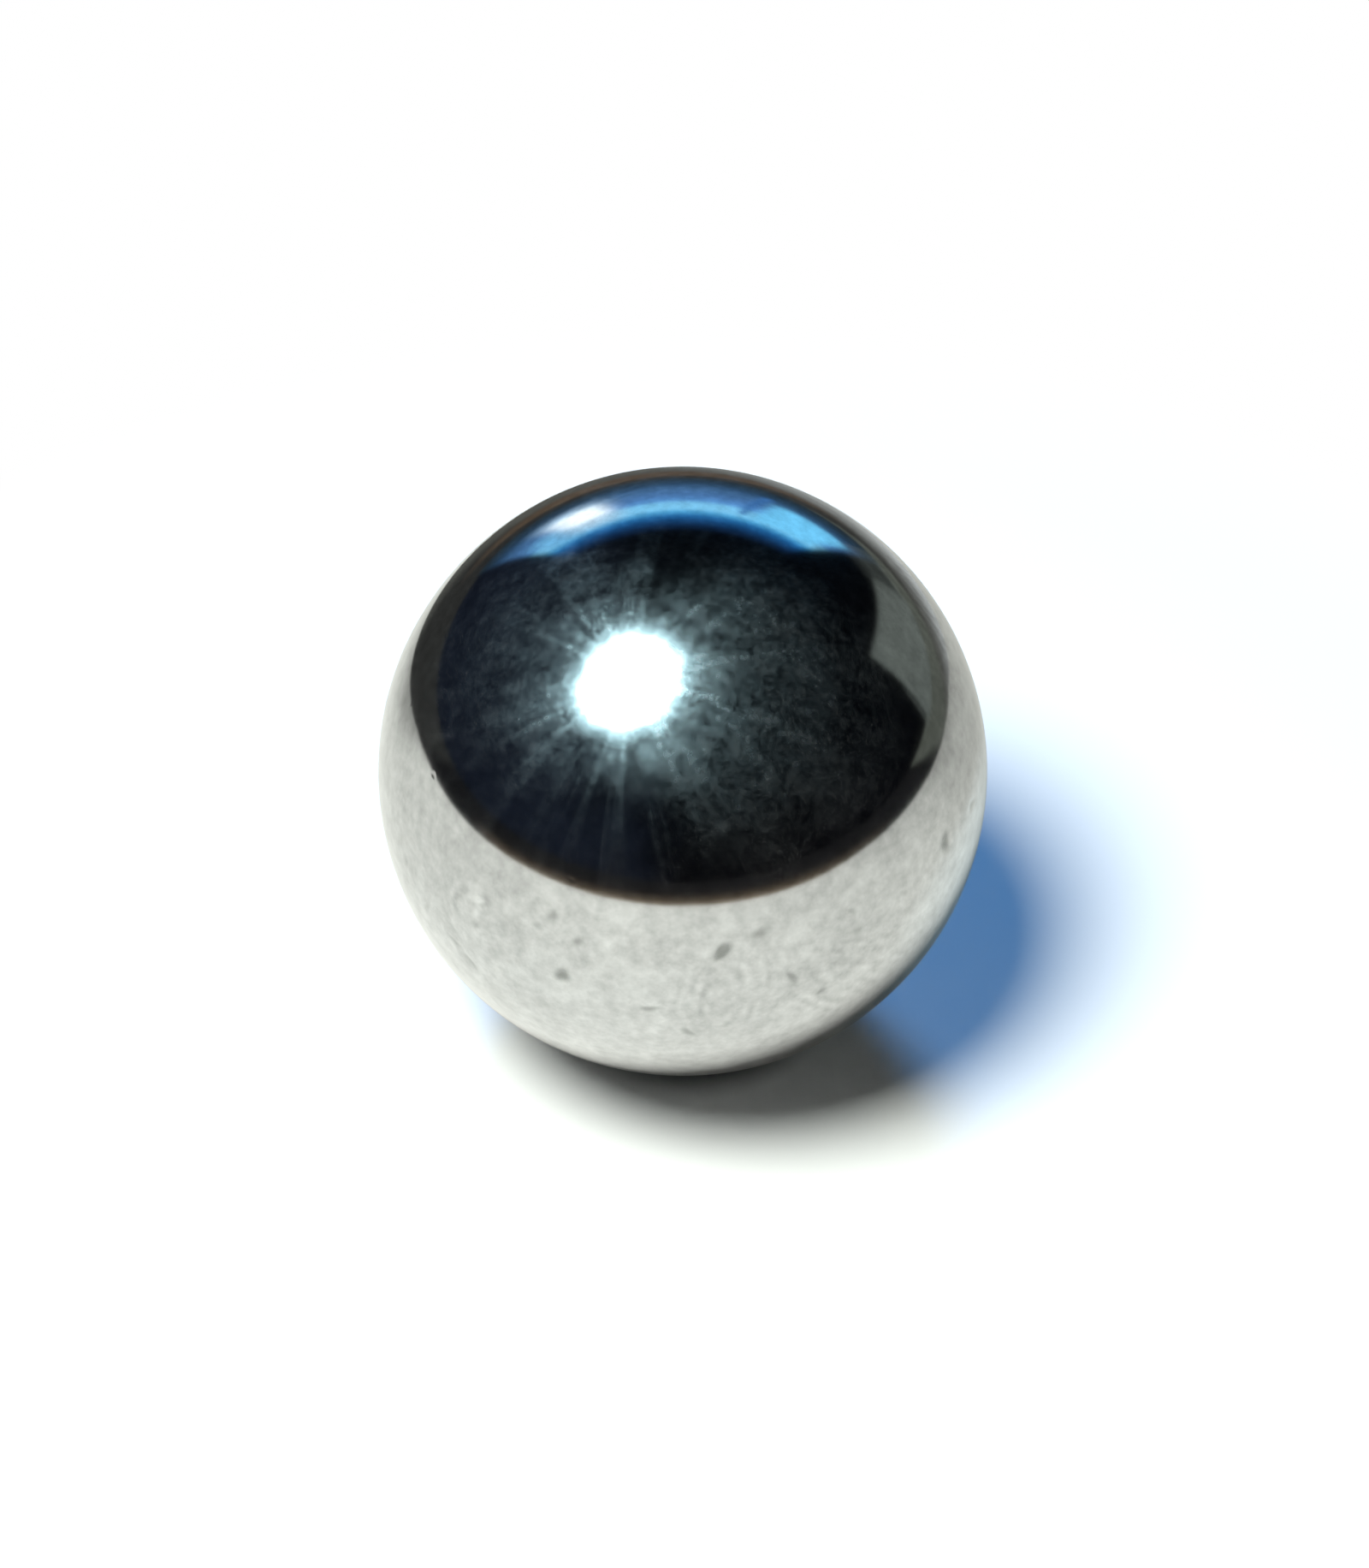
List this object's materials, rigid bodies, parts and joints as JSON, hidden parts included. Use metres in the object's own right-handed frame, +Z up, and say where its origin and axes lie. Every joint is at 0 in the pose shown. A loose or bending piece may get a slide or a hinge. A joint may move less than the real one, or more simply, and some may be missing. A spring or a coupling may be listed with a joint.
{
  "type": "steel ball",
  "caption": "Solid polished steel ball, a true sphere, for rolling, bearing, detent, gauging or bench use.",
  "frame": {"origin": "centre of the ball", "axes": "+Z up; every axis through the origin is an axis of symmetry"},
  "size_m": [0.02, 0.02, 0.02],
  "materials": {
    "polished_steel": "mirror polish with a few small pits, fine dust and faint finger marks"
  },
  "bodies": {
    "root": {"ball": "polished_steel"}
  },
  "joints": []
}
